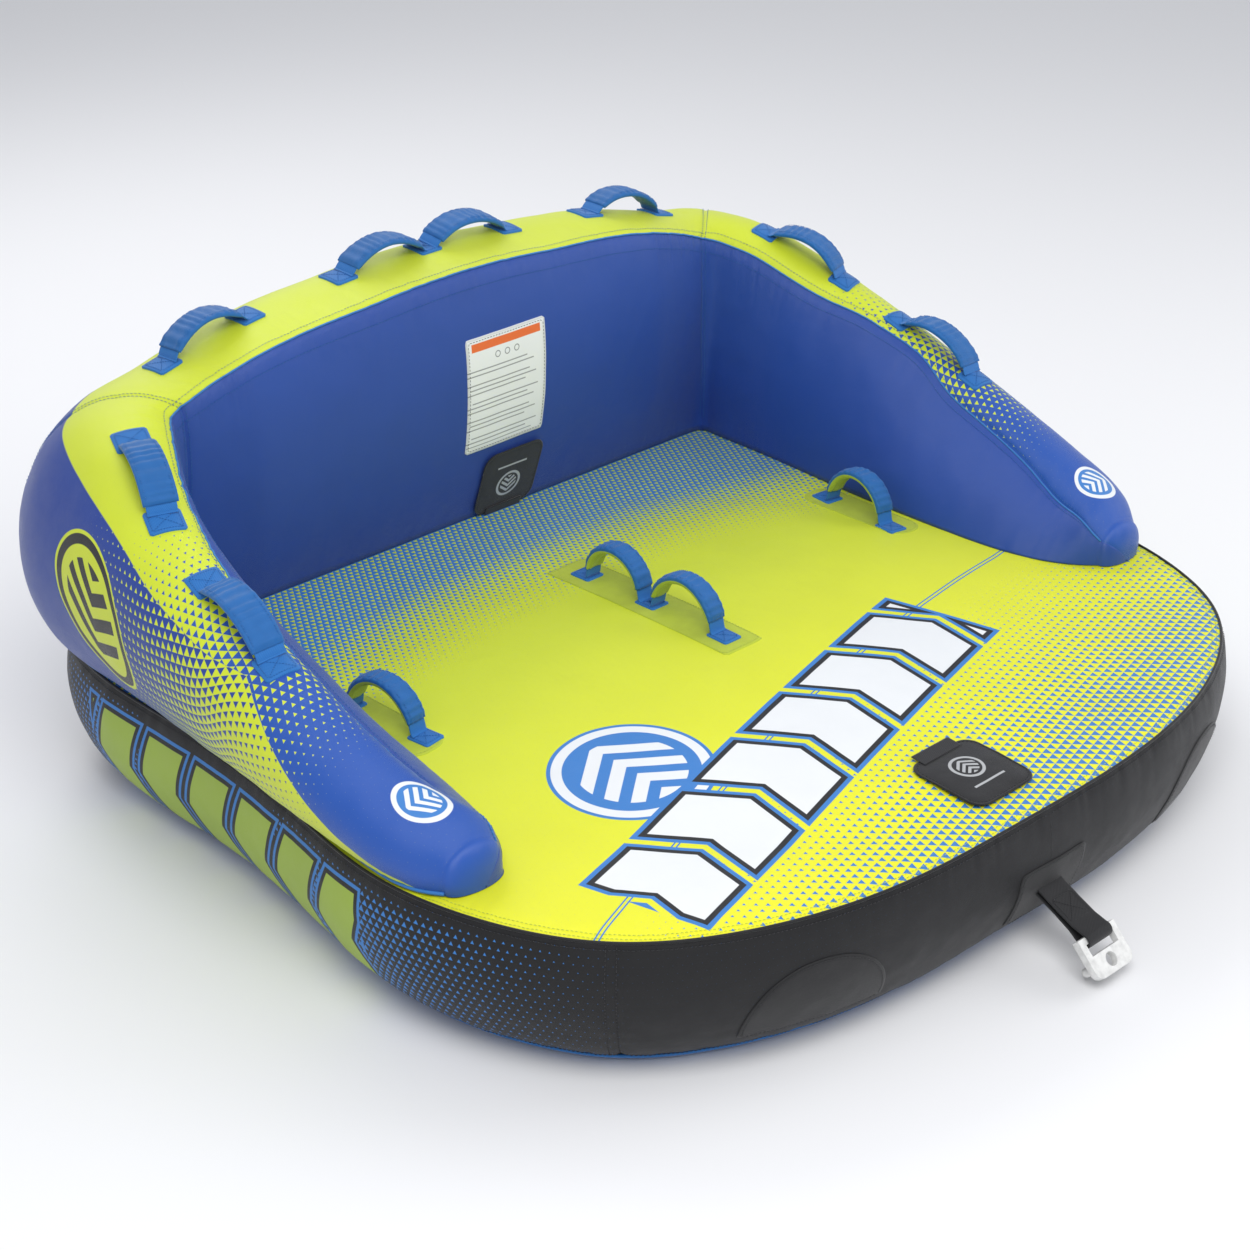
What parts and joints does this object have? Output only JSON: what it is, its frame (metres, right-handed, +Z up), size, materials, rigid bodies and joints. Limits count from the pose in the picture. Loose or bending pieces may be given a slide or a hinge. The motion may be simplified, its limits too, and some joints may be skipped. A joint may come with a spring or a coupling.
{
  "type": "towable tube",
  "caption": "Sit-on inflated towable tube: crowned deck, raised arms and back rest, padded webbing grips, covered inflation valves, cover zipper and front tow hook.",
  "frame": {"origin": "on the underside of the base, on the mid-plane, which is the plane it rests on", "axes": "+Z up, -Y towards the tow hook, +Y towards the back rest, +X towards a seated rider's left hand"},
  "size_m": [1.742, 1.7299, 0.7931],
  "materials": {
    "deck_cover": "printed coated polyester",
    "band_cover": "printed coated polyester",
    "rim_cover": "printed coated polyester",
    "bottom_cover": "coated polyester",
    "bladder": "soft vinyl",
    "grip_pad": "padded neoprene and webbing",
    "webbing": "woven webbing",
    "black_webbing": "woven webbing",
    "flap": "neoprene",
    "black_patch": "coated fabric",
    "deck_patch": "coated fabric",
    "label": "printed label cloth",
    "valve_plastic": "satin",
    "valve_disc": "satin",
    "zip_tape": "woven tape",
    "zip_teeth": "moulded",
    "zip_metal": "plated",
    "grommet": "satin",
    "tow_hook": "moulded nylon"
  },
  "bodies": {
    "root": {"deck_panel": "deck_cover", "side_band": "band_cover", "bottom_panel": "bottom_cover", "base_bladder": "bladder", "drain_grommets": "grommet", "arm_cover_left": "rim_cover", "arm_cover_right": "rim_cover", "back_cover": "rim_cover", "rim_bladder": "bladder", "bow_patch_right": "black_patch", "bow_patch_left": "black_patch", "tow_patch": "black_patch", "care_label": "label", "deck_patch_centre": "deck_patch", "deck_patch_left": "deck_patch", "deck_patch_right": "deck_patch", "arm_grip_tabs_left": "webbing", "arm_grip_tabs_right": "webbing", "back_grip_tabs": "webbing", "deck_grip_tabs": "webbing", "deck_valve_body": "valve_plastic", "back_valve_body": "valve_plastic", "deck_valve_fastener": "black_webbing", "back_valve_fastener": "black_webbing", "zipper_tape": "zip_tape", "zipper_teeth": "zip_teeth"},
    "arm_grip_left_rear": {"arm_grip_left_rear": "grip_pad"},
    "arm_grip_left_front": {"arm_grip_left_front": "grip_pad"},
    "arm_grip_right_rear": {"arm_grip_right_rear": "grip_pad"},
    "arm_grip_right_front": {"arm_grip_right_front": "grip_pad"},
    "back_grip_left_outer": {"back_grip_left_outer": "grip_pad"},
    "back_grip_left_centre": {"back_grip_left_centre": "grip_pad"},
    "back_grip_right_outer": {"back_grip_right_outer": "grip_pad"},
    "back_grip_right_centre": {"back_grip_right_centre": "grip_pad"},
    "deck_grip_centre_rear": {"deck_grip_centre_rear": "grip_pad"},
    "deck_grip_centre_front": {"deck_grip_centre_front": "grip_pad"},
    "deck_grip_left": {"deck_grip_left": "grip_pad"},
    "deck_grip_right": {"deck_grip_right": "grip_pad"},
    "deck_valve_flap": {"deck_valve_flap": "flap"},
    "back_valve_flap": {"back_valve_flap": "flap"},
    "deck_valve_cap": {"deck_valve_cap": "valve_plastic"},
    "back_valve_cap": {"back_valve_cap": "valve_plastic"},
    "deck_valve_stem": {"deck_valve_stem": "valve_disc"},
    "back_valve_stem": {"back_valve_stem": "valve_disc"},
    "tow_strap": {"tow_strap": "black_webbing"},
    "tow_hook": {"tow_hook": "tow_hook"},
    "zipper_slider": {"zipper_slider": "zip_metal"},
    "zipper_pull": {"zipper_pull": "zip_metal"}
  },
  "joints": [
    {"name": "arm_grip_left_rear_swing", "type": "hinge", "parent": "root", "child": "arm_grip_left_rear", "pos_m": [0.73589, 0.40442, 0.62973], "axis": [0.2904, -0.8735, -0.3906], "range_deg": [-20, 20], "stiffness_Nm_per_rad": 0.2},
    {"name": "arm_grip_left_front_swing", "type": "hinge", "parent": "root", "child": "arm_grip_left_front", "pos_m": [0.78346, 0.11388, 0.51333], "axis": [0.0577, -0.9333, -0.3543], "range_deg": [-20, 20], "stiffness_Nm_per_rad": 0.2},
    {"name": "arm_grip_right_rear_swing", "type": "hinge", "parent": "root", "child": "arm_grip_right_rear", "pos_m": [-0.73589, 0.40442, 0.62973], "axis": [-0.2904, -0.8735, -0.3906], "range_deg": [-20, 20], "stiffness_Nm_per_rad": 0.2},
    {"name": "arm_grip_right_front_swing", "type": "hinge", "parent": "root", "child": "arm_grip_right_front", "pos_m": [-0.78346, 0.11388, 0.51333], "axis": [-0.0577, -0.9333, -0.3543], "range_deg": [-20, 20], "stiffness_Nm_per_rad": 0.2},
    {"name": "back_grip_left_outer_swing", "type": "hinge", "parent": "root", "child": "back_grip_left_outer", "pos_m": [0.46938, 0.63289, 0.72502], "axis": [0.9781, -0.0422, -0.204], "range_deg": [-20, 20], "stiffness_Nm_per_rad": 0.2},
    {"name": "back_grip_left_centre_swing", "type": "hinge", "parent": "root", "child": "back_grip_left_centre", "pos_m": [0.09284, 0.63813, 0.76357], "axis": [0.9991, -0.0011, -0.0434], "range_deg": [-20, 20], "stiffness_Nm_per_rad": 0.2},
    {"name": "back_grip_right_outer_swing", "type": "hinge", "parent": "root", "child": "back_grip_right_outer", "pos_m": [-0.46938, 0.63289, 0.72502], "axis": [-0.9781, -0.0422, -0.204], "range_deg": [-20, 20], "stiffness_Nm_per_rad": 0.2},
    {"name": "back_grip_right_centre_swing", "type": "hinge", "parent": "root", "child": "back_grip_right_centre", "pos_m": [-0.09284, 0.63813, 0.76357], "axis": [-0.9991, -0.0011, -0.0434], "range_deg": [-20, 20], "stiffness_Nm_per_rad": 0.2},
    {"name": "deck_grip_centre_rear_swing", "type": "hinge", "parent": "root", "child": "deck_grip_centre_rear", "pos_m": [0, 0.14801, 0.2887], "axis": [0, -0.9995, 0.0306], "range_deg": [-35, 35], "stiffness_Nm_per_rad": 0.2},
    {"name": "deck_grip_centre_front_swing", "type": "hinge", "parent": "root", "child": "deck_grip_centre_front", "pos_m": [0, -0.01567, 0.29206], "axis": [0, -0.9999, 0.0104], "range_deg": [-35, 35], "stiffness_Nm_per_rad": 0.2},
    {"name": "deck_grip_left_swing", "type": "hinge", "parent": "root", "child": "deck_grip_left", "pos_m": [0.54845, 0.09266, 0.27211], "axis": [-0.0978, -0.995, 0.0193], "range_deg": [-35, 35], "stiffness_Nm_per_rad": 0.2},
    {"name": "deck_grip_right_swing", "type": "hinge", "parent": "root", "child": "deck_grip_right", "pos_m": [-0.54845, 0.09266, 0.27211], "axis": [0.0978, -0.995, 0.0193], "range_deg": [-35, 35], "stiffness_Nm_per_rad": 0.2},
    {"name": "deck_valve_flap_hinge", "type": "hinge", "parent": "root", "child": "deck_valve_flap", "pos_m": [-0.01997, -0.56636, 0.26373], "axis": [-1, 0.0002, -0.0025], "range_deg": [0, 150]},
    {"name": "deck_valve_cap_spin", "type": "hinge", "parent": "root", "child": "deck_valve_cap", "pos_m": [-0.01996, -0.63694, 0.25512], "axis": [-0.0025, -0.0664, 0.9978], "continuous": true},
    {"name": "deck_valve_stem_press", "type": "slide", "parent": "root", "child": "deck_valve_stem", "axis": [0.0025, 0.0664, -0.9978], "range_m": [0, 0.006], "stiffness_N_per_m": 120, "springref_m": -0.001},
    {"name": "back_valve_flap_hinge", "type": "hinge", "parent": "root", "child": "back_valve_flap", "pos_m": [0.09299, 0.55575, 0.25377], "axis": [1, 0.0022, 0.0007], "range_deg": [0, 65]},
    {"name": "back_valve_cap_spin", "type": "hinge", "parent": "root", "child": "back_valve_cap", "pos_m": [0.09298, 0.53642, 0.3222], "axis": [0.0023, -0.946, -0.3242], "continuous": true},
    {"name": "back_valve_stem_press", "type": "slide", "parent": "root", "child": "back_valve_stem", "axis": [-0.0023, 0.946, 0.3242], "range_m": [0, 0.006], "stiffness_N_per_m": 120, "springref_m": -0.001},
    {"name": "tow_strap_hinge", "type": "hinge", "parent": "root", "child": "tow_strap", "pos_m": [0.008, -0.778, 0.106], "axis": [1, 0, 0], "range_deg": [-69, 4], "stiffness_Nm_per_rad": 0.8},
    {"name": "tow_hook_hinge", "type": "hinge", "parent": "tow_strap", "child": "tow_hook", "pos_m": [0.008, -0.86069, 0.06567], "axis": [1, 0, 0], "range_deg": [-50, 15]},
    {"name": "zipper_slide", "type": "slide", "parent": "root", "child": "zipper_slider", "axis": [-1, 0, 0], "range_m": [0, 0.9]},
    {"name": "zipper_pull_hinge", "type": "hinge", "parent": "zipper_slider", "child": "zipper_pull", "pos_m": [0.466, 0.82032, 0.172], "axis": [0, 0, -1], "range_deg": [0, 150]}
  ]
}
